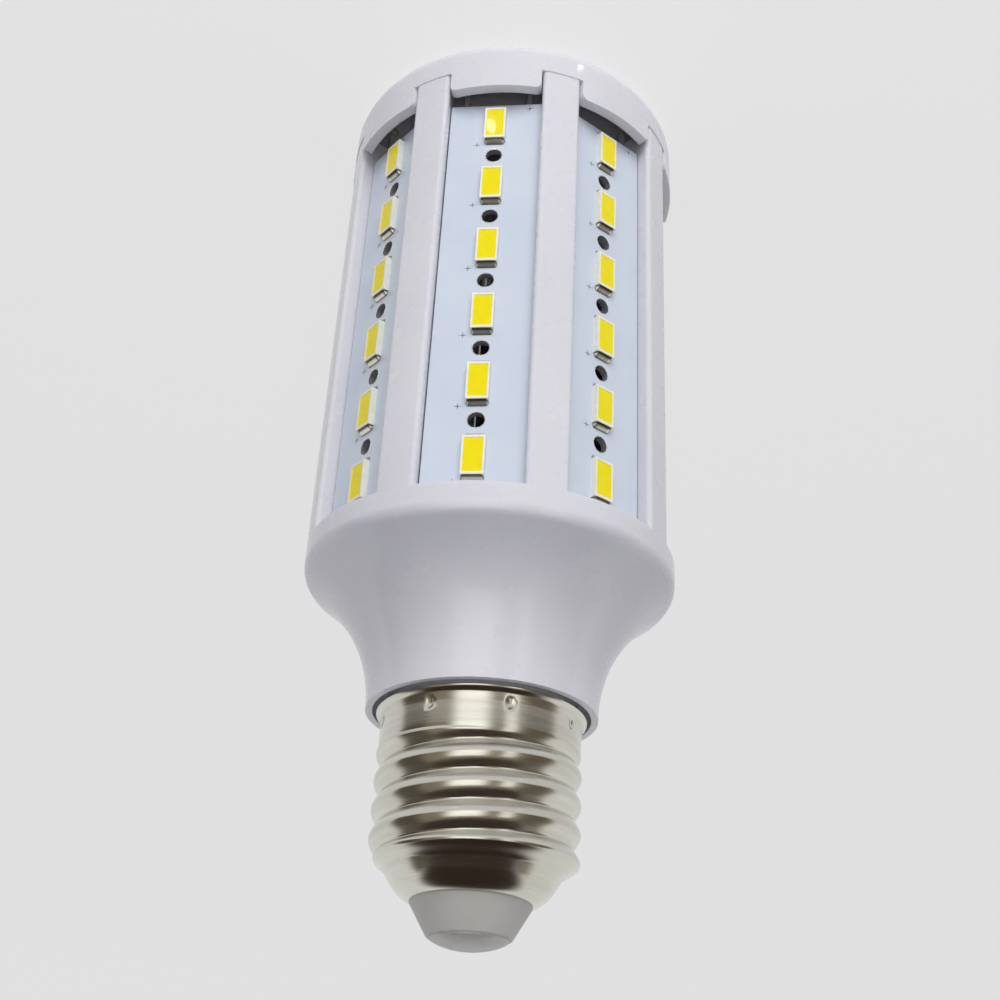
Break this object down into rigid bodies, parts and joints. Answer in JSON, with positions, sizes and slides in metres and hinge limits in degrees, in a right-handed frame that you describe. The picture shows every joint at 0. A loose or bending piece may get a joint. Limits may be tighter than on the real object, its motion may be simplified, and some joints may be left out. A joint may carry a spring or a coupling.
{
  "type": "led light bulb",
  "caption": "Cylindrical led light bulb with lamps on flat boards set in an open ribbed plastic cage, a flared neck and a threaded metal screw base.",
  "frame": {"origin": "middle of the flat head face that the bulb stands on", "axes": "+Z along the bulb's axis from the head to the centre contact; -Y out of the first lit side"},
  "size_m": [0.0502, 0.0502, 0.124],
  "materials": {
    "housing_plastic": "glossy moulded plastic, very pale lilac white",
    "board_mask": "pale blue white solder mask on aluminium, satin",
    "board_aluminium": "bare sheet back, dull",
    "led_white": "white moulded lamp body",
    "phosphor": "clear silicone over bright yellow phosphor",
    "solder": "tinned leads and solder, bright",
    "nickel_plate": "nickel plated brass, bright",
    "insulator_plastic": "greyish white moulding",
    "contact_metal": "plated contact, satin",
    "driver_laminate": "green circuit laminate",
    "film_case": "dipped red brown case",
    "can_sleeve": "black shrink sleeve",
    "resistor_body": "blue green lacquer",
    "bridge_body": "black moulded body",
    "live_sleeve": "red insulation",
    "neutral_sleeve": "black insulation",
    "positive_sleeve": "red insulation",
    "negative_sleeve": "white insulation"
  },
  "bodies": {
    "root": {"base_insulator": "insulator_plastic", "bridge_rectifier": "bridge_body", "centre_contact": "contact_metal", "driver_board": "driver_laminate", "film_capacitor": "film_case", "fusible_resistor": "resistor_body", "head_board": "board_aluminium", "head_led_bodies": "led_white", "head_led_leads": "solder", "head_led_phosphors": "phosphor", "housing": "housing_plastic", "jumper_pins": "solder", "led_board_1": "board_mask", "led_board_2": "board_mask", "led_board_3": "board_mask", "led_board_4": "board_mask", "led_board_5": "board_mask", "led_board_6": "board_mask", "led_board_7": "board_mask", "led_board_8": "board_mask", "led_bodies_1": "led_white", "led_bodies_2": "led_white", "led_bodies_3": "led_white", "led_bodies_4": "led_white", "led_bodies_5": "led_white", "led_bodies_6": "led_white", "led_bodies_7": "led_white", "led_bodies_8": "led_white", "led_leads_1": "solder", "led_leads_2": "solder", "led_leads_3": "solder", "led_leads_4": "solder", "led_leads_5": "solder", "led_leads_6": "solder", "led_leads_7": "solder", "led_leads_8": "solder", "led_phosphors_1": "phosphor", "led_phosphors_2": "phosphor", "led_phosphors_3": "phosphor", "led_phosphors_4": "phosphor", "led_phosphors_5": "phosphor", "led_phosphors_6": "phosphor", "led_phosphors_7": "phosphor", "led_phosphors_8": "phosphor", "led_wire_negative": "negative_sleeve", "led_wire_positive": "positive_sleeve", "live_wire": "live_sleeve", "neutral_wire": "neutral_sleeve", "screw_shell": "nickel_plate", "smoothing_capacitor": "can_sleeve", "top_cap": "housing_plastic"}
  },
  "joints": []
}
